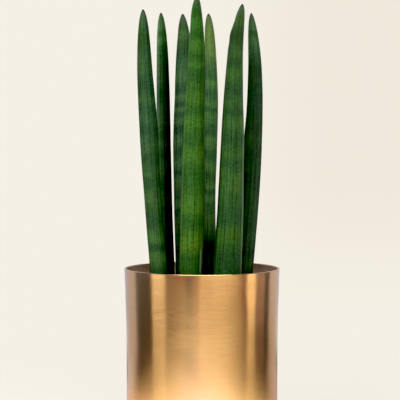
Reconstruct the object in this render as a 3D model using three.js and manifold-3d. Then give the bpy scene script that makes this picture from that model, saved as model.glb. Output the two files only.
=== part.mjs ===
// A cylindrical snake plant: seven upright, rounded leaves in a spun brass pot.
// Millimetres, +Z up. The origin is the middle of the pot's flat underside, and -Y is the front.
import * as THREE from "three";
import { mergeVertices } from "three/addons/utils/BufferGeometryUtils.js";
import Module from "manifold-3d";

const wasm = await Module();
wasm.setup();

// Pot: a thin brass cylinder that opens out a little towards its hemmed edge.
const potHeight = 150;
const potRadius = 73.1; // outside, below the flare
const rimRadius = 75; // outside, at the top of the flare
const flareHeight = 70; // how far below the edge the flare starts
const flarePower = 1.2; // above 1 the flare starts softly
const wallThickness = 1.2;
const floorThickness = 1.5;
const baseCorner = 4; // rounding between the underside and the wall
const hemProud = 0.3; // the folded edge stands out from the flare by this much
const hemWidth = 2;
const hemHeight = 2.4;
const roundSides = 60;

// Soil: fills the pot to a little below the edge.
const soilDrop = 19.5; // from the pot's edge down to the soil
const soilGap = 0.3; // to the pot, and round each leaf's foot
const moundHeight = 2; // rise from the wall to the middle
const lumpHeight = 0.9;
const moundRings = 7;

// Leaves: how they are drawn out of a round section.
const leafRibs = 12; // shallow ridges along the leaf
const ribDepth = 0.035; // of the leaf's radius
const channelDepth = 0.12; // of the leaf's radius, at the foot
const channelHalfAngle = THREE.MathUtils.degToRad(27);
const channelEnd = 0.8; // the channel has faded out by this share of the length
const tipPower = 0.65; // below 1 draws the tip out to a point
const ringCount = 20;
const ringCrowding = 1.5; // above 1 sets the rings closer towards the tip
const footRound = 6; // height of the rounded foot
const footRings = 3;

// The leaves from left to right. A station is [height above the pot's edge, x, radius], and the
// last one is the tip. The depth y runs evenly from the foot to the tip. taper is how far below
// the tip the leaf has reached about two thirds of its girth, and channel is the side, in degrees
// from +X, that the channel is on.
const footHeight = -58;
const leaves = [
  {
    name: "leaf_1",
    depth: [-12, -24],
    taper: 24,
    channel: 65,
    stations: [
      [footHeight, -37.5, 8.6],
      [0, -41.6, 8.6],
      [65, -46.7, 8.4],
      [130, -50.4, 9.3],
      [195, -54.4, 8.7],
      [247.5, -55.8, 8.7],
    ],
  },
  {
    name: "leaf_2",
    depth: [7, 16],
    taper: 18,
    channel: 80,
    stations: [
      [footHeight, -32.5, 7.5],
      [0, -34.2, 7.5],
      [65, -36.3, 7.4],
      [130, -37.4, 7.2],
      [195, -38.2, 6.9],
      [247.5, -39.9, 6.9],
    ],
  },
  {
    name: "leaf_3",
    depth: [16, 30],
    taper: 22,
    channel: 100,
    stations: [
      [footHeight, -16.5, 8.4],
      [0, -17.7, 8.4],
      [65, -19.2, 8.6],
      [130, -19.9, 8.8],
      [195, -18, 8.9],
      [247.5, -18.9, 8.9],
    ],
  },
  {
    name: "leaf_4",
    depth: [-13, -20],
    taper: 33,
    channel: 158,
    stations: [
      [footHeight, -11.8, 11.6],
      [0, -10.5, 11.6],
      [65, -8.8, 11.9],
      [130, -7.8, 11],
      [195, -5.6, 10.1],
      [262, -4.8, 10.1],
    ],
  },
  {
    name: "leaf_5",
    depth: [14, 22],
    taper: 11.5,
    channel: 95,
    stations: [
      [footHeight, 6.7, 7.7],
      [0, 6.4, 7.7],
      [65, 6.1, 7.2],
      [130, 8.5, 6.7],
      [195, 8.8, 6.2],
      [247, 6.4, 6.2],
    ],
  },
  {
    name: "leaf_6",
    depth: [-10, -18],
    taper: 20.5,
    channel: 22,
    stations: [
      [footHeight, 22.1, 14],
      [0, 24.5, 14],
      [65, 27.5, 12.7],
      [130, 29.1, 11.2],
      [195, 31.1, 9.2],
      [228, 34.2, 8.6],
      [253, 38.4, 8.6],
    ],
  },
  {
    name: "leaf_7",
    depth: [13, 26],
    taper: 27.5,
    channel: 120,
    stations: [
      [footHeight, 36.5, 9.5],
      [0, 41.1, 9.5],
      [65, 46.8, 9.3],
      [130, 50.5, 9],
      [195, 51.8, 8.5],
      [248, 48.2, 8.5],
    ],
  },
];

const brass = new THREE.MeshStandardMaterial({ color: 0xd8a566, roughness: 0.35, metalness: 1 });
const pottingMix = new THREE.MeshStandardMaterial({ color: 0x2f231a, roughness: 0.95, metalness: 0 });
const leafGreen = new THREE.MeshStandardMaterial({ color: 0x2f5f24, roughness: 0.5, metalness: 0 });

// A closed solid from a geometry whose vertices are shared.
function solidFrom(geometry) {
  const bare = geometry.clone();
  bare.deleteAttribute("normal");
  bare.deleteAttribute("uv");
  const merged = mergeVertices(bare);
  return new wasm.Manifold(
    new wasm.Mesh({
      numProp: 3,
      vertProperties: merged.attributes.position.array,
      triVerts: new Uint32Array(merged.index.array),
    }),
  );
}

function geometryFrom(solid) {
  const mesh = solid.getMesh();
  const geometry = new THREE.BufferGeometry();
  geometry.setAttribute("position", new THREE.BufferAttribute(mesh.vertProperties, mesh.numProp));
  geometry.setIndex(new THREE.BufferAttribute(mesh.triVerts, 1));
  geometry.computeVertexNormals();
  return geometry;
}

// A profile in (radius, height) turned about the +Z axis. It starts at the bottom of the axis,
// runs up the outside and ends on the axis again.
function turned(profile) {
  return new THREE.LatheGeometry(profile, roundSides).rotateX(Math.PI / 2);
}

function arcPoints(centreRadius, centreHeight, radius, fromDegrees, toDegrees, steps) {
  return Array.from({ length: steps + 1 }, (_, i) => {
    const angle = THREE.MathUtils.degToRad(fromDegrees + ((toDegrees - fromDegrees) * i) / steps);
    return new THREE.Vector2(
      centreRadius + radius * Math.cos(angle),
      centreHeight + radius * Math.sin(angle),
    );
  });
}

// The wall's outside radius at a height.
function wallRadius(height) {
  const risen = Math.max(0, 1 - (potHeight - height) / flareHeight);
  return potRadius + (rimRadius - potRadius) * risen ** flarePower;
}

// Points up the wall, set in from its outside.
function wallPoints(inset, fromHeight, toHeight) {
  const flareStart = potHeight - flareHeight;
  const steps = 4;
  const flared = Array.from({ length: steps + 1 }, (_, i) => {
    const height = flareStart + ((toHeight - flareStart) * i) / steps;
    return new THREE.Vector2(wallRadius(height) - inset, height);
  });
  return [new THREE.Vector2(potRadius - inset, fromHeight), ...flared];
}

function potGeometry() {
  const hemOutside = rimRadius + hemProud;
  const hemRound = hemWidth / 2;
  const hemFoot = potHeight - hemHeight;
  const innerCorner = baseCorner - wallThickness;
  return turned([
    new THREE.Vector2(0, 0),
    ...arcPoints(potRadius - baseCorner, baseCorner, baseCorner, -90, 0, 3),
    ...wallPoints(0, baseCorner, hemFoot).slice(1),
    new THREE.Vector2(hemOutside, hemFoot + hemProud),
    ...arcPoints(hemOutside - hemRound, potHeight - hemRound, hemRound, 0, 180, 5),
    new THREE.Vector2(hemOutside - hemWidth, hemFoot + hemProud),
    ...wallPoints(wallThickness, floorThickness + innerCorner, hemFoot).reverse().slice(0, -1),
    ...arcPoints(
      potRadius - wallThickness - innerCorner,
      floorThickness + innerCorner,
      innerCorner,
      0,
      -90,
      2,
    ),
    new THREE.Vector2(0, floorThickness),
  ]);
}

// The soil's surface: a low mound, broken up by lumps that die out at the pot's wall.
function soilHeight(x, y, edgeRadius) {
  const inwards = Math.max(0, 1 - Math.hypot(x, y) / edgeRadius);
  const mound = moundHeight * Math.min(1, 3 * inwards);
  const lumps = Math.sin(x / 5.1 + 1.3) * Math.cos(y / 4.3) + 0.6 * Math.sin((x + y) / 3.1);
  return potHeight - soilDrop + mound + lumpHeight * lumps * Math.min(1, 8 * inwards);
}

function soilSolid() {
  const inset = wallThickness + soilGap;
  const bottom = floorThickness + soilGap;
  const corner = baseCorner - wallThickness;
  const top = potHeight - soilDrop;
  const edgeRadius = wallRadius(top) - inset;
  const rings = Array.from({ length: moundRings }, (_, i) => {
    return new THREE.Vector2(edgeRadius * (1 - (i + 1) / (moundRings + 1)), top);
  });
  const geometry = turned([
    new THREE.Vector2(0, bottom),
    new THREE.Vector2(potRadius - inset - corner, bottom),
    ...wallPoints(inset, bottom + corner, top),
    ...rings,
    new THREE.Vector2(0, top),
  ]);
  const position = geometry.attributes.position;
  for (let i = 0; i < position.count; i += 1) {
    if (position.getZ(i) > top - 1e-3) {
      position.setZ(i, soilHeight(position.getX(i), position.getY(i), edgeRadius));
    }
  }
  return solidFrom(geometry);
}

// How full the leaf is at a distance below its tip, 0 at the point and near 1 well below it.
function fullness(belowTip, taper) {
  return 1 - Math.exp(-((Math.max(0, belowTip) / taper) ** tipPower));
}

// The share of the radius that the ribs and the channel take away at an angle round the leaf.
function relief(angle, along, channelAngle) {
  const rib = 0.5 - 0.5 * Math.cos(leafRibs * angle);
  const turn = Math.atan2(Math.sin(angle - channelAngle), Math.cos(angle - channelAngle));
  const across = Math.max(0, Math.cos((turn / channelHalfAngle) * (Math.PI / 2)));
  const inChannel = Math.abs(turn) < channelHalfAngle ? across ** 2 : 0;
  const fade = Math.max(0, 1 - along / channelEnd);
  return ribDepth * rib * (1 - inChannel) + channelDepth * fade * inChannel;
}

// A leaf is a round bar, bent along its spine and drawn out to its tip. With a clearance it is
// the plain round hole that the leaf stands in.
function leafGeometry(leaf, clearance = 0) {
  const { stations, depth, taper } = leaf;
  const tipHeight = stations.at(-1)[0];
  const yAt = (height) =>
    THREE.MathUtils.mapLinear(height, footHeight, tipHeight, depth[0], depth[1]);
  const spine = new THREE.CatmullRomCurve3(
    stations.map(([height, x]) => new THREE.Vector3(x, yAt(height), potHeight + height)),
    false,
    "catmullrom",
  );
  const girth = new THREE.SplineCurve(
    stations.map(([height, , radius]) => new THREE.Vector2(height, radius)),
  );
  const channelAngle = THREE.MathUtils.degToRad(leaf.channel);
  const length = tipHeight - footHeight;
  const sides = 2 * leafRibs;

  // Ring places along the leaf, 0 at the foot and 1 at the tip.
  const footPlaces = Array.from({ length: footRings }, (_, i) => {
    return (footRound / length / 2) * ((i + 1) / (footRings + 1)) ** 2;
  });
  const bodyPlaces = Array.from({ length: ringCount }, (_, i) => {
    const place = 1 - (1 - i / ringCount) ** ringCrowding;
    return footRound / length + (1 - footRound / length) * place;
  });
  const bar = new THREE.LatheGeometry(
    [
      new THREE.Vector2(0, 0),
      ...[...footPlaces, ...bodyPlaces].map((place) => new THREE.Vector2(1, place)),
      new THREE.Vector2(0, 1),
    ],
    sides,
  ).rotateX(Math.PI / 2);

  const position = bar.attributes.position;
  for (let i = 0; i < position.count; i += 1) {
    const along = position.getZ(i);
    const centre = spine.getPoint(along);
    const outwards = Math.hypot(position.getX(i), position.getY(i));
    const angle = Math.atan2(position.getY(i), position.getX(i));
    const fromFoot = Math.min(1, (centre.z - potHeight - footHeight) / footRound);
    const footFullness = Math.sqrt(1 - (1 - fromFoot) ** 2);
    const full = girth.getPoint(along).y * fullness(tipHeight + potHeight - centre.z, taper);
    const carved = clearance > 0 ? 1 : 1 - relief(angle, along, channelAngle);
    const radius = outwards * (full * footFullness * carved + clearance);
    position.setXYZ(
      i,
      centre.x + radius * Math.cos(angle),
      centre.y + radius * Math.sin(angle),
      centre.z - (along === 0 ? clearance : 0),
    );
  }
  return bar;
}

function pottedSoil() {
  const holes = leaves.map((leaf) => solidFrom(leafGeometry(leaf, soilGap)));
  return geometryFrom(holes.reduce((soil, hole) => soil.subtract(hole), soilSolid()));
}

function piece(name, geometry, material) {
  const mesh = new THREE.Mesh(geometry, material);
  mesh.name = name;
  return mesh;
}

const plant = new THREE.Group();
plant.add(piece("pot", potGeometry(), brass));
plant.add(piece("soil", pottedSoil(), pottingMix));
for (const leaf of leaves) {
  plant.add(piece(leaf.name, leafGeometry(leaf), leafGreen));
}

export default plant;
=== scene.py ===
import math
import random

import bpy
import numpy as np
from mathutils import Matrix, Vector, noise


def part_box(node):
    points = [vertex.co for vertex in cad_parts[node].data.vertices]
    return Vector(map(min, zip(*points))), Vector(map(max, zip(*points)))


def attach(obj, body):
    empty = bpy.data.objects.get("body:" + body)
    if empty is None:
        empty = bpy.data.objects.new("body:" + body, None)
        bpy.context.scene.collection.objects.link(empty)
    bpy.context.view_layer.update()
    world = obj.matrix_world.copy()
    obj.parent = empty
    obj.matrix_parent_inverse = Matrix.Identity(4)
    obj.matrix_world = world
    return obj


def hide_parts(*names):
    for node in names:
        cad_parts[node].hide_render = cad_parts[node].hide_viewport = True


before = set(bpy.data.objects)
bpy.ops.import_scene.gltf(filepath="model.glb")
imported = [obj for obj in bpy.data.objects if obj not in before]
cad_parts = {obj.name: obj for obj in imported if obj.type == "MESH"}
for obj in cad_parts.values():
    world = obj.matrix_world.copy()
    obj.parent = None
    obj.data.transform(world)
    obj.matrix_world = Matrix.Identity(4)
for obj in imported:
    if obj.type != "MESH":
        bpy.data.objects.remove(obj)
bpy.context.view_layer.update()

mm = 0.001


# a node's output that can stand in a sum; every sum adds a Math node
class Socket:
    def __init__(self, graph, output):
        self.graph = graph
        self.output = output

    def math(self, operation, *values):
        return self.graph.node("ShaderNodeMath", {"operation": operation}, dict(enumerate(values)))

    def __add__(self, other):
        return self.math("ADD", self, other)

    def __radd__(self, other):
        return self.math("ADD", other, self)

    def __sub__(self, other):
        return self.math("SUBTRACT", self, other)

    def __rsub__(self, other):
        return self.math("SUBTRACT", other, self)

    def __mul__(self, other):
        return self.math("MULTIPLY", self, other)

    def __rmul__(self, other):
        return self.math("MULTIPLY", other, self)

    def __pow__(self, other):
        return self.math("POWER", self, other)

    def __abs__(self):
        return self.math("ABSOLUTE", self)


class Graph:
    def __init__(self, tree):
        self.tree = tree
        self.tree.nodes.clear()

    # any node: its settings go in first, then the values or links of its sockets
    def node(self, kind, settings=None, sockets=None, output=0):
        made = self.tree.nodes.new(kind)
        for key, value in (settings or {}).items():
            if key == "stops":
                setStops(made.color_ramp, value)
            else:
                setattr(made, key, value)
        for key, value in (sockets or {}).items():
            if isinstance(value, Socket):
                self.tree.links.new(value.output, made.inputs[key])
            else:
                made.inputs[key].default_value = value
        return Socket(self, made.outputs[output]) if made.outputs else None

    # x, y and z of a vector
    def parts(self, vector):
        first = self.node("ShaderNodeSeparateXYZ", {}, {0: vector})
        return [Socket(self, output) for output in first.output.node.outputs]

    def vector(self, x, y, z):
        return self.node("ShaderNodeCombineXYZ", {}, {0: x, 1: y, 2: z})

    def noise(self, vector, scale, detail, rough, seed):
        sockets = {"Vector": vector, "W": seed, "Scale": scale, "Detail": detail, "Roughness": rough}
        return self.node("ShaderNodeTexNoise", {"noise_dimensions": "4D"}, sockets)

    # noise drawn out along z: how many grains to a unit across and along
    def grain(self, place, across, along, detail, rough, seed):
        x, y, z = place
        return self.noise(self.vector(x * across, y * across, z * along), 1, detail, rough, seed)

    # 0 at low, 1 at high, soft in between; low may be the larger of the two
    def smooth(self, value, low, high):
        sockets = {"Value": value, "From Min": low, "From Max": high}
        return self.node("ShaderNodeMapRange", {"interpolation_type": "SMOOTHSTEP"}, sockets)

    # two colours, or two sockets of colour, by a mask
    def blend(self, mask, first, second):
        sockets = {0: mask, 6: tint(first), 7: tint(second)}
        return self.node("ShaderNodeMix", {"data_type": "RGBA"}, sockets, 2)

    def scaled(self, colour, level):
        return self.node("ShaderNodeVectorMath", {"operation": "SCALE"}, {0: colour, "Scale": level})


def tint(colour):
    return colour if isinstance(colour, Socket) else (*colour, 1)


# a soft ramp through pairs of place, from 0 to 1, and level
def setStops(ramp, stops):
    ramp.interpolation = "EASE"
    ramp.elements[0].position = stops[0][0]
    ramp.elements[1].position = stops[-1][0]
    for place, _ in stops[1:-1]:
        ramp.elements.new(place)
    for element, (_, level) in zip(ramp.elements, stops):
        element.color = (level, level, level, 1)


class Finish(Graph):
    def __init__(self, name):
        self.material = bpy.data.materials.new(name)
        self.material.use_nodes = True
        super().__init__(self.material.node_tree)

    def surface(self, sockets):
        shader = self.node("ShaderNodeBsdfPrincipled", {}, sockets)
        self.node("ShaderNodeOutputMaterial", {}, {"Surface": shader})
        return self.material

    def bump(self, height, strength, distance):
        sockets = {"Height": height, "Strength": strength, "Distance": distance}
        return self.node("ShaderNodeBump", {}, sockets)

    # a soft spot on an upright round: turn and height of its middle, half width in degrees, half height
    def spot(self, place, radius, around, height, halfWide, halfTall):
        x, y, z = place
        turn = math.radians(around)
        facing = x * (math.cos(turn) / radius) + y * (math.sin(turn) / radius)
        gone, full = [math.cos(math.radians(halfWide * share)) for share in (1.5, 0.4)]
        return self.smooth(facing, gone, full) * self.smooth(abs(z - height), halfTall * 1.2, halfTall * 0.7)


def addPiece(name, points, faces, finish, replaced):
    mesh = bpy.data.meshes.new(name)
    mesh.from_pydata([tuple(point) for point in points], [], faces)
    mesh.update()
    mesh.shade_smooth()
    piece = bpy.data.objects.new(name, mesh)
    bpy.context.scene.collection.objects.link(piece)
    mesh.materials.append(finish)
    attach(piece, "root")
    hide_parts(replaced)
    return piece


# a value for each point, which the piece's finish reads by name
def addValues(piece, name, kind, field, values):
    piece.data.attributes.new(name, kind, "POINT").data.foreach_set(field, values)


# cosine and sine of the turns of a ring's points; a shift of 0.5 sets them half a step on
def ringTurns(sides, shift=0.0):
    turns = [2 * math.pi * (side + shift) / sides for side in range(sides)]
    return [(math.cos(turn), math.sin(turn)) for turn in turns]


# quads between rings of the same count, closed round, and fans to a point at either end
def ringFaces(rings, sides, foot, tip, start=0):
    faces = []
    for ring in range(rings - 1):
        for side in range(sides):
            a = start + ring * sides + side
            b = start + ring * sides + (side + 1) % sides
            faces.append((a, b, b + sides, a + sides))
    last = start + (rings - 1) * sides
    for side in range(sides):
        after = (side + 1) % sides
        faces.append((foot, start + after, start + side))
        faces.append((last + side, last + after, tip))
    return faces


camera = {
    "place": (0, -1.44924, 0.27934),
    "tiltDown": 2.512,  # degrees
    "turnLeft": 0.0764,
    "lens": 135,
    "sensor": 36,
    "near": 0.01,
    "far": 30,
}


def addCamera():
    data = bpy.data.cameras.new("camera")
    data.lens = camera["lens"]
    data.sensor_width = camera["sensor"]
    data.clip_start = camera["near"]
    data.clip_end = camera["far"]
    made = bpy.data.objects.new("camera", data)
    made.location = camera["place"]
    tilt = math.radians(90 - camera["tiltDown"])
    made.rotation_euler = (tilt, 0, math.radians(camera["turnLeft"]))
    bpy.context.scene.collection.objects.link(made)
    bpy.context.scene.camera = made


studio = {
    "room": (0.12, 0.12, 0.18),  # the unlit room behind the lamps, as the brass mirrors it
    "shade": (0.030, 0.030, 0.028),  # what reaches the leaves from it
    "paper": (0.915, 0.870, 0.789),
    "corner": (0.864, 0.808, 0.718),  # the paper dims towards the upper right
    "cornerAcross": (-0.01, 0.09),  # looking this far right it starts to dim, and is dimmest
    "cornerUp": (-0.13, -0.02),  # and this far up
    "floorRadius": 0.75,
    "floorSides": 96,
    "floorFade": 0.30,  # the floor is whole up to here, then goes over into the paper
    "floorColour": (0.13, 0.124, 0.114),
    "floorGlow": 0.855,  # a shooting table, lit from below
    "lampAim": 0.25,  # the height that the taller lamps are turned to
    "blackLevel": 0.02,
}

# side is degrees to the left of the camera as seen from the pot, so a lamp on the right is below 0
# span is the heights of its lower and upper edge, far its distance from the pot's middle
# the pot and the plant have lamps of their own, so each can be lit without spoiling the other
potLamps = {
    "aloft": {"side": 0, "span": (0.5, 1.6), "far": 0.5, "wide": 1.20, "colour": (5.00, 4.60, 4.20)},
    "leftStrip": {"side": 65.5, "span": (-0.1, 0.1), "far": 1.1, "wide": 0.45, "colour": (1.35, 1.26, 1.05)},
    "leftStripTop": {"side": 67, "span": (0.1, 0.5), "far": 1.1, "wide": 0.41, "colour": (0.85, 0.78, 0.62)},
    "leftDim": {"side": 101, "span": (-0.1, 0.1), "far": 1.1, "wide": 0.50, "colour": (0.05, 0.07, 0.07)},
    "leftSoft": {"side": 39, "span": (-0.1, 0.1), "far": 1.1, "wide": 0.62, "colour": (0.29, 0.19, 0.11)},
    "front": {"side": -28, "span": (-0.1, 0.1), "far": 1.1, "wide": 1.36, "colour": (0.45, 0.41, 0.32)},
    "frontWide": {"side": -27, "span": (-0.1, 0.1), "far": 1.1, "wide": 1.85, "colour": (0.33, 0.14, 0.09)},
    "frontCore": {"side": -29, "span": (-0.1, 0.1), "far": 1.1, "wide": 0.52, "colour": (0.19, 0.16, 0.13)},
    "frontTop": {"side": -24, "span": (0.1, 0.5), "far": 1.1, "wide": 1.15, "colour": (0.69, 0.76, 0.49)},
    "rightStrip": {"side": -76, "span": (-0.1, 0.1), "far": 1.1, "wide": 0.31, "colour": (1.80, 1.56, 1.22)},
    "rightStripTop": {"side": -74, "span": (0.1, 0.5), "far": 1.1, "wide": 0.2, "colour": (1.15, 1.02, 0.64)},
    "rightSoft": {"side": -94, "span": (-0.1, 0.1), "far": 1.1, "wide": 0.40, "colour": (0.48, 0.36, 0.32)},
    "backLeft": {"side": 146, "span": (-0.8, 1.6), "far": 1.5, "wide": 1.88, "colour": (0.40, 0.44, 0.59)},
    "backRight": {"side": 212, "span": (-0.8, 1.6), "far": 1.5, "wide": 1.80, "colour": (0.46, 0.49, 0.59)},
}
# a lamp is on for the leaves of these numbers, for s the soil and for f the floor
plantLamps = {
    "overhead": {"side": 45, "span": (1.55, 2.05), "far": 0.8, "wide": 0.50, "level": 1.2, "on": "1234567sf"},
    "leftWindow": {"side": 43, "span": (-0.02, 1.5), "far": 1.1, "wide": 0.62, "level": 2.4, "on": "13456sf"},
    "leftSlit": {"side": 72, "span": (-0.02, 1.5), "far": 1.1, "wide": 0.40, "level": 3.9, "on": "2sf"},
    "leftLow": {"side": 80, "span": (-0.02, 0.4), "far": 1.1, "wide": 0.90, "level": 0.8, "on": "345sf"},
    "leftWall": {"side": 118, "span": (0.0, 1.6), "far": 1.3, "wide": 1.60, "level": 1.6, "on": "246sf"},
    "frontLow": {"side": 2, "span": (-0.02, 0.4), "far": 1.1, "wide": 0.85, "level": 2.0, "on": "35sf"},
    "softbox": {"side": 0, "span": (0.0, 1.6), "far": 1.3, "wide": 2.40, "level": 1.3, "on": "13456sf"},
    "rightSlit": {"side": -24, "span": (0.0, 1.6), "far": 1.2, "wide": 1.40, "level": 1.4, "on": "7sf"},
    "rightLow": {"side": -92, "span": (-0.02, 0.5), "far": 1.1, "wide": 0.85, "level": 1.8, "on": "4567sf"},
    "rightWall": {"side": -118, "span": (0.0, 1.6), "far": 1.3, "wide": 1.60, "level": 1.2, "on": "3456sf"},
    "highRight": {"side": -41, "span": (0.75, 1.15), "far": 0.7, "wide": 0.18, "level": 12.0, "on": "2"},
    "highLeft": {"side": 58, "span": (0.8, 1.3), "far": 0.5, "wide": 0.40, "level": 4.5, "on": "7"},
    "backFill": {"side": 180, "span": (0.0, 1.6), "far": 1.5, "wide": 1.00, "level": 2.0, "on": "1234567s"},
}


def addLamp(name, lamp, colour, reached):
    side = math.radians(lamp["side"])
    low, high = lamp["span"]
    height = high - low
    spot = Vector((-math.sin(side) * lamp["far"], -math.cos(side) * lamp["far"], (low + high) / 2))
    aim = Vector((0, 0, min(spot.z, studio["lampAim"])))
    light = bpy.data.lights.new(name, "AREA")
    light.shape = "RECTANGLE"
    light.size = lamp["wide"]
    light.size_y = height
    light.energy = math.pi * lamp["wide"] * height  # so that the lamp's face is as bright as its colour
    light.color = colour
    made = bpy.data.objects.new(name, light)
    made.location = spot
    made.rotation_euler = (spot - aim).to_track_quat("Z", "Y").to_euler()
    made.visible_camera = False
    made.light_linking.receiver_collection = bpy.data.collections.new("reached by " + name)
    for piece in reached:
        made.light_linking.receiver_collection.objects.link(bpy.data.objects[piece])
    bpy.context.scene.collection.objects.link(made)


# the parts of the table that shine in the brass: full inside the first radius, gone at the second
sheens = {
    "near": {"middle": (0, -0.14), "radii": (0.03, 0.15), "colour": (0.00, 0.00, 1.50)},
    "before": {"middle": (0, -0.22), "radii": (0.08, 0.40), "colour": (1.58, 1.54, 1.21)},
    "under": {"middle": (-0.05, 0), "radii": (0.12, 0.30), "colour": (0.56, 0.41, 0.41)},
    "behind": {"middle": (0, 0.80), "radii": (0.35, 0.60), "colour": (0.22, 0.32, 0.34)},
    "left": {"middle": (-0.24, 0.20), "radii": (0.06, 0.20), "colour": (0.50, 0.55, 0.65)},
    "right": {"middle": (0.24, 0.20), "radii": (0.06, 0.20), "colour": (0.56, 0.52, 0.58)},
    "farLeft": {"middle": (-0.50, 0.50), "radii": (0.22, 0.42), "colour": (0.50, 0.48, 0.60)},
    "farRight": {"middle": (0.54, 0.56), "radii": (0.22, 0.42), "colour": (0.50, 0.47, 0.46)},
}


def addWorld():
    world = bpy.data.worlds.new("studio")
    bpy.context.scene.world = world
    world.use_nodes = True
    graph = Graph(world.node_tree)
    across, _, up = graph.parts(graph.node("ShaderNodeTexCoord", {}, {}, "Generated"))
    corner = graph.smooth(across, *studio["cornerAcross"]) * graph.smooth(up, *studio["cornerUp"])
    paint = graph.blend(corner, studio["paper"], studio["corner"])
    seen = graph.node("ShaderNodeLightPath", {}, {}, "Is Camera Ray")
    mirrored = graph.node("ShaderNodeLightPath", {}, {}, "Is Glossy Ray")
    room = graph.node("ShaderNodeBackground", {}, {"Color": tint(studio["room"])})
    shade = graph.node("ShaderNodeBackground", {}, {"Color": tint(studio["shade"])})
    paper = graph.node("ShaderNodeBackground", {}, {"Color": paint})
    unseen = graph.node("ShaderNodeMixShader", {}, {0: mirrored, 1: shade, 2: room})
    both = graph.node("ShaderNodeMixShader", {}, {0: seen, 1: unseen, 2: paper})
    graph.node("ShaderNodeOutputWorld", {}, {"Surface": both})


def floorFinish():
    finish = Finish("shooting table")
    x, y, _ = finish.parts(finish.node("ShaderNodeNewGeometry"))
    gone = finish.smooth((x * x + y * y) ** 0.5, studio["floorFade"], studio["floorRadius"])
    paint = finish.node("ShaderNodeBsdfDiffuse", {}, {"Color": tint(studio["floorColour"])})
    lit = {"Color": tint(studio["paper"]), "Strength": studio["floorGlow"]}
    glow = finish.node("ShaderNodeEmission", {}, lit)
    table = finish.node("ShaderNodeAddShader", {}, {0: paint, 1: glow})
    clear = finish.node("ShaderNodeBsdfTransparent")
    seen = finish.node("ShaderNodeMixShader", {}, {0: gone, 1: table, 2: clear})
    shine = None
    for sheen in sheens.values():
        u, v = x - sheen["middle"][0], y - sheen["middle"][1]
        spot = finish.smooth((u * u + v * v) ** 0.5, sheen["radii"][1], sheen["radii"][0])
        light = finish.node("ShaderNodeEmission", {}, {"Color": tint(sheen["colour"]), "Strength": spot})
        shine = light if shine is None else finish.node("ShaderNodeAddShader", {}, {0: shine, 1: light})
    inBrass = finish.node("ShaderNodeLightPath", {}, {}, "Is Glossy Ray")
    both = finish.node("ShaderNodeMixShader", {}, {0: inBrass, 1: seen, 2: shine})
    finish.node("ShaderNodeOutputMaterial", {}, {"Surface": both})
    finish.material.cycles.emission_sampling = "NONE"
    return finish.material


def addFloor():
    radius = studio["floorRadius"]
    points = [(radius * x, radius * y, 0) for x, y in ringTurns(studio["floorSides"])]
    mesh = bpy.data.meshes.new("floor")
    mesh.from_pydata(points, [], [tuple(range(len(points)))])
    mesh.materials.append(floorFinish())
    floor = bpy.data.objects.new("floor", mesh)
    bpy.context.scene.collection.objects.link(floor)


def addStudio():
    addWorld()
    addFloor()
    for name, lamp in potLamps.items():
        addLamp(name, lamp, lamp["colour"], ["brassPot"])
    besides = {"s": ["pottingMix", "barkAndGrit"], "f": ["floor"]}
    for name, lamp in plantLamps.items():
        reached = []
        for mark in lamp["on"]:
            reached += besides.get(mark, ["snakeLeaf" + mark])
        addLamp(name, lamp, (lamp["level"],) * 3, reached)
    view = bpy.context.scene.view_settings
    view.view_transform = "Standard"
    view.use_curve_mapping = True
    view.curve_mapping.black_level = (studio["blackLevel"],) * 3
    view.curve_mapping.update()


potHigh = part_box("pot")[1]
pot = {
    "height": potHigh.z,
    "rim": potHigh.x - 0.3 * mm,  # outside radius at the top of the flare
    "narrow": potHigh.x - 2.2 * mm,  # outside radius below the flare
    "flareHeight": 70 * mm,
    "flarePower": 1.2,
    "wall": 1.2 * mm,
    "floor": 1.5 * mm,
    "corner": 4 * mm,
    "hemProud": 0.12 * mm,  # the edge is folded over into a hem
    "hemWidth": 2 * mm,
    "hemHeight": 2.4 * mm,
    "hemRound": 0.55 * mm,
    "seamDepth": 0.03 * mm,  # the fine seam under the fold
    "seamRun": 0.2 * mm,
    "sides": 256,
    "waver": 0.16 * mm,  # how far the spun wall is out of true
    "waverWide": 23 * mm,
    "waverTall": 28 * mm,
    "waverFade": 10 * mm,  # it dies away towards the corner and the fold
    "deepBrass": (0.90, 0.53, 0.22),
    "paleBrass": (0.94, 0.60, 0.28),
    "warmBrass": (0.86, 0.48, 0.18),
    "dustyBrass": (0.74, 0.56, 0.42),  # inside
    "glancing": (0.93, 0.86, 0.80),  # tints the mirror image where it is seen at a low angle
    "roughness": 0.23,
    "dustRoughness": 0.25,  # added inside
    "dustDulling": 0.35,
    "brushed": 0.76,
    "lacquer": 0.4,
    "lacquerRoughness": 0.25,
    "stroked": 0.15,  # how much the brush strokes show all over
    # and where they are rougher: turn, depth below the edge, half width in degrees, half height, strength
    "rubbed": [
        (-123, 50, 10, 22, 0.42), (-104, 46, 9, 16, 0.14), (-80, 32, 10, 24, 0.10), (-62, 62, 7, 10, 0.25),
        (30, 40, 10, 18, 0.30), (100, 60, 9, 14, 0.30), (170, 35, 8, 16, 0.30),
    ],
}


def wallRadius(height):
    risen = max(0, 1 - (pot["height"] - height) / pot["flareHeight"])
    return pot["narrow"] + (pot["rim"] - pot["narrow"]) * risen ** pot["flarePower"]


def arc(centre, radius, start, end, steps):
    points = []
    for step in range(steps + 1):
        turn = math.radians(start + (end - start) * step / steps)
        points.append((centre[0] + radius * math.cos(turn), centre[1] + radius * math.sin(turn)))
    return points


def wallPoints(inset, bottom, top, steps):
    heights = [bottom + (top - bottom) * step / steps for step in range(steps + 1)]
    return [(wallRadius(height) - inset, height) for height in heights]


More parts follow.
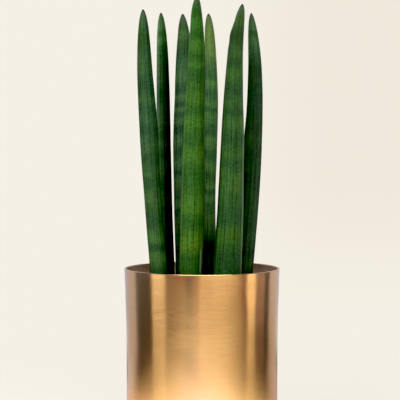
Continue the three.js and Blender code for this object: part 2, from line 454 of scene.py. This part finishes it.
# from just off the axis below and up the outside to the edge, then from the edge down the inside
def potOutline():
    inner = pot["corner"] - pot["wall"]
    hemFoot = pot["height"] - pot["hemHeight"]
    hemOut = pot["rim"] + pot["hemProud"] - pot["hemRound"]
    hemIn = hemOut - pot["hemWidth"] + 2 * pot["hemRound"]
    outside = [(pot["narrow"] * share, 0) for share in (0.08, 0.3, 0.55, 0.78, 0.9)]
    outside += arc((pot["narrow"] - pot["corner"], pot["corner"]), pot["corner"], -90, 0, 10)
    outside += wallPoints(0, pot["corner"], hemFoot - pot["seamRun"], 40)[1:]
    outside += [(wallRadius(hemFoot) - pot["seamDepth"], hemFoot)]
    outside += arc((hemOut, pot["height"] - pot["hemRound"]), pot["hemRound"], 0, 90, 6)
    inside = arc((hemIn, pot["height"] - pot["hemRound"]), pot["hemRound"], 90, 180, 6)
    inside += wallPoints(pot["wall"], pot["floor"] + inner, hemFoot, 30)[::-1]
    inside += arc((pot["narrow"] - pot["wall"] - inner, pot["floor"] + inner), inner, 0, -90, 8)[1:]
    inside += [(pot["narrow"] * share, pot["floor"]) for share in (0.6, 0.3, 0.08)]
    return outside, inside


def brassFinish():
    finish = Finish("brushed brass")
    x, y, z = finish.parts(finish.node("ShaderNodeNewGeometry"))
    inside = finish.node("ShaderNodeAttribute", {"attribute_name": "inside"}, {}, "Fac")
    lane = (z + (x * x + y * y) ** 0.5) * 1000  # millimetres across the brush marks, on the wall and below
    fine = finish.grain((x, y, lane), 30, 2.2, 3, 0.6, 1)
    broad = finish.grain((x, y, lane), 7, 0.35, 3, 0.55, 2)
    cloud = finish.noise(finish.vector(x, y, z), 26, 3, 0.5, 3)
    stroke = finish.grain((x, y, lane), 90, 1.0, 2, 0.65, 4)

    worked = pot["stroked"]
    wavy = z + (broad - 0.5) * 0.03
    for around, depth, halfWide, halfTall, strength in pot["rubbed"]:
        height = pot["height"] - depth * mm
        spot = finish.spot((x, y, wavy), pot["narrow"], around, height, halfWide, halfTall * mm)
        worked = worked + spot * strength
    strokes = (stroke - 0.5) * worked

    colour = finish.blend(cloud, pot["deepBrass"], pot["paleBrass"])
    colour = finish.blend(finish.smooth(broad, 0.35, 0.75) * 0.35, colour, pot["warmBrass"])
    colour = finish.scaled(colour, 1 + strokes * 1.3)
    colour = finish.blend(inside * 0.8, colour, pot["dustyBrass"])
    rough = pot["roughness"] + (fine - 0.5) * 0.08 + (cloud - 0.5) * 0.08 + (broad - 0.5) * 0.06
    return finish.surface({
        "Base Color": colour,
        "Metallic": 1 - inside * pot["dustDulling"],
        "Roughness": rough + inside * pot["dustRoughness"],
        "Anisotropic": pot["brushed"],
        "Anisotropic Rotation": 0.25,  # a quarter turn, so that highlights are drawn out up the wall
        "Specular Tint": tint(pot["glancing"]),
        "Coat Weight": pot["lacquer"],
        "Coat Roughness": pot["lacquerRoughness"],
        "Normal": finish.bump(fine * 0.4 + broad * 0.5 + strokes * 0.3, 0.15, 0.06 * mm),
    })


def addPot():
    outside, inside = potOutline()
    sides = pot["sides"]
    points = []
    for radius, height in outside + inside:
        free = min(height - pot["corner"], pot["height"] - pot["hemHeight"] - height) / pot["waverFade"]
        for x, y in ringTurns(sides):
            place = Vector((x * pot["rim"], y * pot["rim"], height * pot["waverWide"] / pot["waverTall"]))
            away = radius + pot["waver"] * min(1, max(0, free)) * noise.noise(place / pot["waverWide"])
            points.append((away * x, away * y, height))
    points += [(0, 0, 0), (0, 0, pot["floor"])]
    faces = ringFaces(len(outside + inside), sides, len(points) - 2, len(points) - 1)
    piece = addPiece("brassPot", points, faces, brassFinish(), "pot")
    within = [0.0] * len(outside) * sides + [1.0] * len(inside) * sides + [0.0, 1.0]
    addValues(piece, "inside", "FLOAT", "value", within)


leafForm = {
    "ribs": 12,
    "ribDepth": 0.035,  # of the leaf's radius
    "channelDepth": 0.12,
    "channelHalf": math.radians(27),
    "channelEnd": 0.8,  # the channel has faded out by this share of the length
    "tipPower": 0.65,
    "footRound": 6 * mm,
    "uneven": 0.006,  # how far the girth wanders, as a share of it
    "wanders": (70, 31, 13),  # over these lengths in millimetres, and less over the shorter ones
    "sides": 96,
    "rings": 260,
    "crowding": 0.9,  # below 1 the rings crowd less at the foot than at the tip
}

# heights are in millimetres above the pot's edge, lengths in millimetres and colours linear
leafSkin = {
    "bandRoom": (-30, 300),  # where the ramp of bands starts, and how far it runs
    "footTop": 75,  # the foot's colour has gone over into the pale one here; for some leaves the foot colour is painted shade
    "crownRise": (185, 225),  # the crown's colours come in over these heights; for some leaves they are painted light on the lit top
    "crownDark": 0.68,  # the dark bands there, as a share of the crown's colour
    "moss": (0.125, 0.190, 0.030),
    "bloomRise": (60, 200),
    "bloom": (0.050, 0.120, 0.075),
    "fleck": (0.150, 0.260, 0.130),
    "tipBloomReach": (16, 3),  # how far below the tip it starts, and is full
    "tipBloom": (0.105, 0.150, 0.095),
    "tipDryReach": (3, 1),
    "tipDry": (0.060, 0.045, 0.030),
    "sheathReach": (-10, -14),
    "sheath": (0.200, 0.150, 0.085),
}

# turns are in degrees, 0 to the right and -90 to the front
# taper is the length over which the tip narrows, channel the turn that the channel faces
# bands are heights, the first dark, then pale and dark in turn
# a swell is turn, height and half height, and how far the skin stands out there
# a mark is turn, height, half width in degrees, half height, strength and colour; some marks are painted
# shade, noted where they stand
leaves = {
    "leaf_1": {
        "taper": 24, "channel": 65, "pale": (0.059, 0.131, 0.050), "dark": (0.043, 0.100, 0.041),
        "foot": (0.086, 0.199, 0.056), "crown": (0.062, 0.141, 0.043),
        "bands": (-4, 13, 22, 29, 47, 67, 85, 91, 105, 119, 133, 142, 154, 161, 174, 194, 218, 234),
        "bloom": 0.45, "moss": 0.20, "dashes": 0.15,
        "swells": [(180, 130, 110, 0.3)],
        "marksAndShades": [],
    },
    "leaf_2": {
        "taper": 18, "channel": 80, "pale": (0.072, 0.150, 0.058), "dark": (0.043, 0.116, 0.045),
        # painted shade: the dark foot colour stands for leaf_1's shade on the lower leaf; painted light: the
        # bright crown stands for the lit top
        "foot": (0.028, 0.056, 0.022), "crown": (0.128, 0.311, 0.108),
        "bands": (-4, 10, 17, 30, 58, 64, 80, 94, 113, 120, 127, 142, 170, 180, 213, 221, 227, 234),
        "bloom": 0.25, "moss": 0.20, "dashes": 0.10,
        "swells": [],
        "marksAndShades": [],
    },
    "leaf_3": {
        # partly painted light: the pale and dark colours are lighter than the other leaves' to make up for
        # the shade behind leaf_4; painted shade: the foot colour darkens the leaf towards the soil
        "taper": 22, "channel": 100, "pale": (0.118, 0.244, 0.104), "dark": (0.070, 0.138, 0.074),
        "foot": (0.068, 0.053, 0.035), "crown": (0.082, 0.163, 0.056),
        "bands": (5, 16, 25, 39, 54, 61, 68, 83, 92, 101, 112, 124,
                  134, 143, 149, 153, 158, 165, 172, 186, 212, 228, 236),
        "bloom": 0.30, "moss": 0.20, "dashes": 0.20,
        "swells": [(0, 226, 22, 0.9), (180, 195, 32, 0.6)],
        "marksAndShades": [],
    },
    "leaf_4": {
        "taper": 33, "channel": 158, "pale": (0.066, 0.176, 0.032), "dark": (0.043, 0.124, 0.028),
        "foot": (0.103, 0.226, 0.033), "crown": (0.053, 0.172, 0.030),
        "bands": (7, 25, 49, 56, 90, 113, 124, 142, 152, 160, 189, 195, 201, 215, 222, 235, 243),
        "bloom": 0.05, "moss": 0.30, "dashes": 0.75,
        "swells": [(0, 200, 48, 0.7), (180, 246, 14, 0.5)],
        "marksAndShades": [
            (-36, 8, 5, 11, 0.50, (0.420, 0.480, 0.320)),
            # painted shade: a dark stripe down the right side of leaf_4
            (-12, 130, 8, 110, 0.50, (0.050, 0.065, 0.022)),
            (-164, 45, 8, 50, 0.50, (0.120, 0.150, 0.045)),
        ],
    },
    "leaf_5": {
        # partly painted light: the pale, dark and crown colours are lighter than the other leaves' to make up
        # for the shade behind leaves 4 and 6; painted shade: the dark foot colour
        "taper": 11.5, "channel": 95, "pale": (0.131, 0.282, 0.089), "dark": (0.083, 0.180, 0.074),
        "foot": (0.048, 0.043, 0.034), "crown": (0.243, 0.366, 0.089),
        "bands": (8, 20, 33, 47, 60, 66, 74, 79, 88, 97, 108, 124,
                  132, 148, 154, 158, 168, 179, 186, 210, 238),
        "bloom": 0.35, "moss": 0.30, "dashes": 0.30,
        "swells": [(180, 200, 40, 0.5), (0, 160, 42, 0.5), (180, 153, 26, 0.5)],
        "marksAndShades": [
            (-12, 190, 14, 60, 0.50, (0.100, 0.090, 0.040)),
            # painted shade: the front of leaf_5 darkened round its foot, where leaves 4 and 6 shade it
            (-90, -4, 110, 38, 0.75, (0.032, 0.040, 0.020)),
        ],
    },
    "leaf_6": {
        "taper": 20.5, "channel": 22, "pale": (0.056, 0.132, 0.036), "dark": (0.039, 0.098, 0.035),
        "foot": (0.063, 0.160, 0.031), "crown": (0.050, 0.112, 0.031),
        "bands": (9, 36, 46, 91, 102, 111, 125, 141, 151, 160, 171, 189, 197, 206, 222, 236),
        "bloom": 0.20, "moss": 0.30, "dashes": 0.35,
        "swells": [(180, 225, 9, 0.9), (180, 238, 4, -0.3), (180, 213, 16, 0.4), (0, 128, 36, 0.5)],
        "marksAndShades": [
            (-15, 60, 9, 75, 0.65, (0.150, 0.210, 0.110)),
            # painted shade: a dark line down the left side of leaf_6
            (-163, 110, 12, 120, 0.80, (0.018, 0.034, 0.012)),
        ],
    },
    "leaf_7": {
        # partly painted shade: the pale and dark colours are darkened for the shade of leaf_6; painted light:
        # the bright crown stands for the lit top
        "taper": 27.5, "channel": 120, "pale": (0.035, 0.075, 0.034), "dark": (0.036, 0.069, 0.034),
        "foot": (0.045, 0.084, 0.038), "crown": (0.097, 0.204, 0.081),
        "bands": (-4, 4, 12, 29, 40, 56, 88, 95, 111, 121, 135, 143, 164, 174, 196, 220, 227, 233),
        "bloom": 0.30, "moss": 0.15, "dashes": 0.15,
        "swells": [(0, 130, 90, 0.3), (180, 122, 32, 0.9)],
        "marksAndShades": [],
    },
}


# how far turns lie from a middle one, within half a turn either way
def turnBetween(turns, middle):
    return (turns - middle + math.pi) % (2 * math.pi) - math.pi


# the rings of a CAD leaf: height, middle and radius at the crests of the ribs
def leafRings(name):
    levels = {}
    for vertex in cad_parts[name].data.vertices:
        levels.setdefault(round(vertex.co.z, 5), []).append(vertex.co)
    channel = math.radians(leaves[name]["channel"])
    step = 360 / leafForm["ribs"]
    rings = []
    for height in sorted(levels)[1:-1]:
        spots = np.array([(point.x, point.y) for point in levels[height]])
        angles = np.arctan2(*(spots - spots.mean(0)).T[::-1])
        onCrest = np.abs((np.degrees(angles) + step / 4) % step - step / 4) < step / 6
        offChannel = np.abs(turnBetween(angles, channel)) > leafForm["channelHalf"] * 1.1
        kept = spots[onCrest & offChannel]
        # the circle through them: x * x + y * y = 2 * a * x + 2 * b * y + c
        equations = np.column_stack([2 * kept, np.ones(len(kept))])
        a, b, c = np.linalg.lstsq(equations, (kept ** 2).sum(1), rcond=None)[0]
        rings.append((height, a, b, math.sqrt(c + a * a + b * b)))
    return np.array(rings), min(levels), max(levels)


# the share of the full girth at each height: rounded at the foot, narrowing to the tip
def fullness(heights, bottom, top, taper):
    foot = np.clip((heights - bottom) / leafForm["footRound"], 0, 1)
    tip = 1 - np.exp(-((np.maximum(top - heights, 0) / taper) ** leafForm["tipPower"]))
    return tip * np.sqrt(1 - (1 - foot) ** 2)


# a smooth curve through unevenly spaced values
def through(places, values, at):
    slopes = np.gradient(values, places)
    span = np.clip(np.searchsorted(places, at) - 1, 0, len(places) - 2)
    width = places[span + 1] - places[span]
    t = (at - places[span]) / width
    rise = (1 + 2 * t) * (1 - t) ** 2 * values[span] + t * t * (3 - 2 * t) * values[span + 1]
    bend = t * (1 - t) ** 2 * slopes[span] - t * t * (1 - t) * slopes[span + 1]
    return rise + width * bend


# the skin is painted on the leaf as it was before it bent: x and y round it and z up it, in millimetres
def leafFinish(name, wide, tip):
    look = leaves[name]
    seed = 10 * list(leaves).index(name)
    finish = Finish("leaf skin " + name[-1])
    grown = finish.parts(finish.node("ShaderNodeAttribute", {"attribute_name": "grown"}, {}, "Vector"))
    x, y, z = grown

    # the cross bands, with edges torn along the grain
    torn = finish.grain(grown, 0.8, 0.03, 3, 0.6, seed)
    sway = finish.grain(grown, 0.12, 0.03, 2, 0.5, seed + 1)
    place = z + (torn - 0.5) * 7 + (sway - 0.5) * 6
    start, room = leafSkin["bandRoom"]
    stops = [((height - start) / room, step % 2) for step, height in enumerate(look["bands"])]
    banded = finish.node("ShaderNodeValToRGB", {"stops": stops}, {0: (place - start) * (1 / room)})
    faint = finish.grain(grown, 0.06, 0.10, 2, 0.5, seed + 2)
    banded = (banded - 0.5) * 1.15 + 0.5 + (faint - 0.5) * 0.7

    # the grain along the leaf, thin lines and short dark dashes across it, and pale flecks
    grain = finish.grain(grown, 1.0, 0.02, 3, 0.75, seed + 3)
    cross = finish.grain(grown, 0.12, 0.45, 3, 0.65, seed + 4)
    dash = finish.grain(grown, 0.45, 0.7, 2, 0.6, seed + 5)
    fleck = finish.grain(grown, 0.75, 0.50, 2, 0.7, seed + 6)
    patch = finish.grain(grown, 0.09, 0.035, 2, 0.5, seed + 7)
    turn = finish.node("ShaderNodeMath", {"operation": "ARCTAN2"}, {0: y, 1: x})
    wave = finish.node("ShaderNodeMath", {"operation": "COSINE"}, {0: turn * (2 * leafForm["ribs"])})
    groove = (0.5 - 0.5 * wave) ** 6 * finish.smooth(grain, 0.62, 0.42)

    # the foot colour, which for some leaves is painted shade towards the soil
    pale = finish.blend(finish.smooth(z, leafSkin["footTop"], 0), look["pale"], look["foot"])
    # the crown colour, which for some leaves is painted light on the lit top
    crowned = finish.smooth(z, *leafSkin["crownRise"])
    pale = finish.blend(crowned, pale, look["crown"])
    dark = finish.blend(crowned, look["dark"], [level * leafSkin["crownDark"] for level in look["crown"]])
    pale = finish.blend(finish.smooth(patch, 0.5, 0.7) * look["moss"], pale, leafSkin["moss"])
    colour = finish.blend(banded, dark, pale)
    high = finish.smooth(z, *leafSkin["bloomRise"]) * finish.smooth(patch, 0.55, 0.35) * look["bloom"]
    colour = finish.blend(high, colour, leafSkin["bloom"])
    dashed = finish.smooth(dash, 0.54, 0.66) * look["dashes"]
    level = 1.08 + (grain - 0.5) * 2.0 + (cross - 0.5) * 1.0 + (fleck - 0.5) * 0.9
    colour = finish.scaled(colour, level - groove * 0.5 - dashed * 0.5)
    colour = finish.blend(finish.smooth(fleck, 0.60, 0.72) * 0.40, colour, leafSkin["fleck"])

    # marks in the skin's colour, some of them painted shade
    for around, height, halfWide, halfTall, strength, shade in look["marksAndShades"]:
        mark = finish.spot((x, y, z + (torn - 0.5) * 8), wide, around, height, halfWide, halfTall)
        colour = finish.blend(mark * strength, colour, shade)

    # the dry tip with grey bloom below it, and the papery sheath at the soil
    down = tip - z + (torn - 0.5) * 2
    greyed = finish.smooth(down, *leafSkin["tipBloomReach"])
    dried = finish.smooth(down, *leafSkin["tipDryReach"])
    sheathed = finish.smooth(z + (torn - 0.5) * 8, *leafSkin["sheathReach"])
    colour = finish.blend(greyed * 0.55, colour, leafSkin["tipBloom"])
    colour = finish.blend(dried * 0.85, colour, leafSkin["tipDry"])
    colour = finish.blend(sheathed * 0.8, colour, leafSkin["sheath"])

    return finish.surface({
        "Base Color": colour,
        "Roughness": 0.50 + (grain - 0.5) * 0.25 + (fleck - 0.5) * 0.1 + high * 0.15,
        "Specular IOR Level": 0.12,
        "Normal": finish.bump(grain * 0.6 - groove * 0.5 + fleck * 0.1 - cross * 0.1, 0.5, 0.25 * mm),
    })


# what the ribs, the channel and the uneven growth take off the radius, as a share of it
def leafRelief(look, turn, z, along, luck):
    rib = 0.5 - 0.5 * np.cos(leafForm["ribs"] * turn)
    away = turnBetween(turn, math.radians(look["channel"]))
    across = np.maximum(0, np.cos(away / leafForm["channelHalf"] * math.pi / 2)) ** 2
    across = np.where(np.abs(away) < leafForm["channelHalf"], across, 0)
    fade = np.maximum(0, 1 - along / leafForm["channelEnd"])
    relief = leafForm["ribDepth"] * rib * (1 - across) + leafForm["channelDepth"] * fade[:, None] * across
    for length in leafForm["wanders"]:
        wave = np.sin(2 * math.pi * z[:, None] / (length * mm) + turn + luck.uniform(0, 6))
        relief = relief + leafForm["uneven"] * length / leafForm["wanders"][0] * (1 + wave)
    return relief


def leafPiece(name):
    look = leaves[name]
    taper = look["taper"] * mm
    luck = random.Random(10 + list(leaves).index(name))
    rings, bottom, top = leafRings(name)
    sides = leafForm["sides"]
    heights = rings[:, 0]
    girths = rings[:, 3] / fullness(heights, bottom, top, taper)

    # rings crowd towards the rounded foot and the tip
    share = np.linspace(0, 1, leafForm["rings"] + 2)[1:-1]
    z = bottom + (top - bottom) * (0.5 - 0.5 * np.cos(math.pi * share)) ** leafForm["crowding"]
    radius = through(heights, girths, np.clip(z, heights[0], heights[-1])) * fullness(z, bottom, top, taper)
    middleX = through(heights, rings[:, 1], z)
    middleY = through(heights, rings[:, 2], z)

    turn = 2 * math.pi * np.arange(sides) / sides
    along = (z - bottom) / (top - bottom)
    reach = radius[:, None] * (1 - leafRelief(look, turn, z, along, luck))
    above = (z - pot["height"]) / mm
    for facing, middle, half, proud in look["swells"]:
        level = np.maximum(0, 1 - (above - middle) ** 2 / half ** 2) ** 2
        towards = np.maximum(0, np.cos(turn - math.radians(facing))) ** 2
        reach = reach + proud * mm * level[:, None] * towards

    points = np.stack([
        middleX[:, None] + reach * np.cos(turn),
        middleY[:, None] + reach * np.sin(turn),
        np.repeat(z[:, None], sides, 1),
    ], -1).reshape(-1, 3)
    ends = [(*rings[0, 1:3], bottom), (*rings[-1, 1:3], top)]
    faces = ringFaces(len(z), sides, len(points), len(points) + 1)
    wide = girths.mean() / mm
    finish = leafFinish(name, wide, (top - pot["height"]) / mm)
    piece = addPiece(name.replace("leaf_", "snakeLeaf"), [*points, *ends], faces, finish, name)

    # the same points on the leaf as it was before it bent
    straight = np.stack([
        wide * np.repeat(np.cos(turn)[None], len(z), 0),
        wide * np.repeat(np.sin(turn)[None], len(z), 0),
        np.repeat(above[:, None], sides, 1),
    ], -1).reshape(-1, 3)
    straight = np.vstack([straight, [(0, 0, (end[2] - pot["height"]) / mm) for end in ends]])
    addValues(piece, "grown", "FLOAT_VECTOR", "vector", straight.astype(np.float32).ravel())


soil = {
    "drop": 19.5 * mm,
    "gap": 0.3 * mm,
    "mound": 2 * mm,
    "lump": 0.9 * mm,
    "crumb": 1.1 * mm,
    "hollow": 1.4 * mm,  # how far it sinks round each leaf
    "hollowWide": 5 * mm,
    "rings": 110,
    "sides": 320,
    "damp": (0.018, 0.012, 0.008),
    "dry": (0.058, 0.037, 0.023),
    "speck": (0.120, 0.080, 0.050),
}

bark = {
    "chips": 520,
    "grit": 90,  # white pumice grains
    "small": 1.6 * mm,
    "large": 6.5 * mm,
    "gritSize": (0.8, 1.8),  # in millimetres
    "width": (0.35, 0.80),  # as shares of the length
    "thickness": (0.22, 0.40),
    "gritRound": (0.75, 1.00),
    "leaning": 0.35,
    "proud": (0.1, 0.8),  # how far the middle stands above the mix, as a share of half the thickness
    "reach": 0.62,  # the room that a chip takes up sideways, as a share of its length
    "offWall": 0.5 * mm,
    "offLeaf": 0.4 * mm,
    "rings": 4,
    "sides": 8,
    "seed": 7,
    "dark": (0.034, 0.020, 0.013),
    "pale": (0.210, 0.118, 0.062),
    "fibre": (0.030, 0.018, 0.011),
    "greyGrit": (0.420, 0.390, 0.340),
    "whiteGrit": (0.640, 0.620, 0.580),
}


# where each leaf goes into the soil: its middle and radius there
def leafFeet():
    level = pot["height"] - soil["drop"]
    feet = []
    for name in leaves:
        rings = leafRings(name)[0]
        feet.append([np.interp(level, rings[:, 0], rings[:, column]) for column in (1, 2, 3)])
    return np.array(feet)


# the distance to the nearest leaf's side
def clearOfLeaves(x, y, feet):
    return float((np.hypot(feet[:, 0] - x, feet[:, 1] - y) - feet[:, 2]).min())


# lumps 15 to 30 mm apart with crumbs of a few millimetres, smoothed out at the pot's wall
def soilHeight(x, y, edge, feet):
    inwards = max(0, 1 - math.hypot(x, y) / edge)
    u, v = x / mm, y / mm
    lumps = math.sin(u / 5.1 + 1.3) * math.cos(v / 4.3) + 0.6 * math.sin((u + v) / 3.1)
    crumbs = noise.fractal(Vector((u / 3.2, v / 3.2, 0.7)), 1.0, 2.0, 4)
    height = pot["height"] - soil["drop"] + soil["mound"] * min(1, 3 * inwards)
    sunk = soil["hollow"] * max(0, 1 - max(0, clearOfLeaves(x, y, feet)) / soil["hollowWide"]) ** 2
    return height - sunk + (soil["lump"] * lumps + soil["crumb"] * crumbs) * min(1, 8 * inwards)


def soilFinish():
    finish = Finish("potting mix")
    place = finish.node("ShaderNodeNewGeometry")
    grain = finish.noise(place, 900, 4, 0.65, 1)
    patch = finish.noise(place, 160, 3, 0.5, 2)
    colour = finish.blend(finish.smooth(patch, 0.35, 0.65), soil["damp"], soil["dry"])
    return finish.surface({
        "Base Color": finish.blend(finish.smooth(grain, 0.58, 0.72) * 0.7, colour, soil["speck"]),
        "Roughness": 0.85 + (grain - 0.5) * 0.2,
        "Specular IOR Level": 0.25,
        "Normal": finish.bump(grain, 0.8, 0.8 * mm),
    })


# each chip has a shade of its own, up to 1; the grit's is above it
def barkFinish():
    finish = Finish("bark and grit")
    shade = finish.node("ShaderNodeAttribute", {"attribute_name": "shade"}, {}, "Fac")
    fibre = finish.noise(finish.node("ShaderNodeNewGeometry"), 1400, 3, 0.6, 3)
    colour = finish.blend(shade, bark["dark"], bark["pale"])
    colour = finish.blend(finish.smooth(fibre, 0.40, 0.70) * 0.5, colour, bark["fibre"])
    white = finish.blend(finish.smooth(fibre, 0.35, 0.65), bark["greyGrit"], bark["whiteGrit"])
    return finish.surface({
        "Base Color": finish.blend(finish.smooth(shade, 1.2, 1.6), colour, white),
        "Roughness": 0.85,
        "Specular IOR Level": 0.25,
        "Normal": finish.bump(fibre, 0.6, 0.4 * mm),
    })


# the mix just clears the pot's wall and floor, and its top is domed, lumpy and sunk round the leaves
def addSoil(feet):
    inset = pot["wall"] + soil["gap"]
    bottom = pot["floor"] + soil["gap"]
    corner = pot["corner"] - pot["wall"]
    top = pot["height"] - soil["drop"]
    edge = wallRadius(top) - inset
    sides = soil["sides"]
    outline = [(pot["narrow"] - inset - corner, bottom)] + wallPoints(inset, bottom + corner, top, 12)
    points = [(radius * x, radius * y, height) for radius, height in outline for x, y in ringTurns(sides)]
    for ring in range(1, soil["rings"]):
        radius = edge * (1 - ring / soil["rings"])
        for x, y in ringTurns(sides, 0.5 * (ring % 2)):
            points.append((radius * x, radius * y, soilHeight(radius * x, radius * y, edge, feet)))
    points += [(0, 0, bottom), (0, 0, soilHeight(0, 0, edge, feet))]
    faces = ringFaces(len(outline) + soil["rings"] - 1, sides, len(points) - 2, len(points) - 1)
    addPiece("pottingMix", points, faces, soilFinish(), "soil")
    return edge


# a rough lump: rings of corners, then a point below and a point above
def chipPoints(half, middle, lean, spin, luck):
    rings, sides = bark["rings"], bark["sides"]
    corners = []
    for ring in range(rings):
        rise = -0.8 + 1.6 * ring / (rings - 1)
        for side in range(sides):
            turn = spin + 2 * math.pi * side / sides
            girth = (1 - abs(rise) ** 3) ** 0.4 * luck.uniform(0.78, 1.0)
            wide, deep = half[0] * girth, half[1] * girth
            corners.append((wide * math.cos(turn), deep * math.sin(turn), half[2] * rise))
    corners += [(0, 0, half[2] * -0.9), (0, 0, half[2] * 0.9)]
    points = []
    for corner in map(Vector, corners):
        corner.rotate(lean)
        points.append(middle + corner)
    return points


# bark chips and grit, each partly sunk in the mix, all one mesh
def addBark(feet, edge):
    luck = random.Random(bark["seed"])
    points, faces, shades = [], [], []
    made = 0
    while made < bark["chips"] + bark["grit"]:
        isGrit = made >= bark["chips"]
        if isGrit:
            length = luck.uniform(*bark["gritSize"]) * mm
        else:
            length = bark["small"] + (bark["large"] - bark["small"]) * luck.random() ** 2.2
        away = edge * math.sqrt(luck.random())
        around = luck.uniform(0, 2 * math.pi)
        x, y = away * math.cos(around), away * math.sin(around)
        reach = length * bark["reach"]
        if away > edge - reach - bark["offWall"] or clearOfLeaves(x, y, feet) < reach + bark["offLeaf"]:
            continue
        width, thickness = length * luck.uniform(*bark["width"]), length * luck.uniform(*bark["thickness"])
        half = [length / 2, width / 2, thickness / 2]
        if isGrit:
            half = [length / 2 * luck.uniform(*bark["gritRound"]) for _ in range(3)]
        upright = Vector((luck.gauss(0, bark["leaning"]), luck.gauss(0, bark["leaning"]), 1))
        lean = upright.to_track_quat("Z", "Y")
        spin = luck.uniform(0, 2 * math.pi)
        middle = Vector((x, y, soilHeight(x, y, edge, feet) + half[2] * luck.uniform(*bark["proud"])))
        start = len(points)
        points += chipPoints(half, middle, lean, spin, luck)
        faces += ringFaces(bark["rings"], bark["sides"], len(points) - 2, len(points) - 1, start)
        shade = 2.0 if isGrit else luck.random() ** 1.6
        shades += [shade] * (len(points) - start)
        made += 1
    piece = addPiece("barkAndGrit", points, faces, barkFinish(), "soil")
    piece.data.shade_flat()
    addValues(piece, "shade", "FLOAT", "value", shades)


addPot()
print("pot is spun")
leafFoot = leafFeet()
soilEdge = addSoil(leafFoot)
addBark(leafFoot, soilEdge)
print("soil is filled in")
for leafName in leaves:
    leafPiece(leafName)
print("leaves are grown")
addCamera()
addStudio()
print("camera and studio are set")
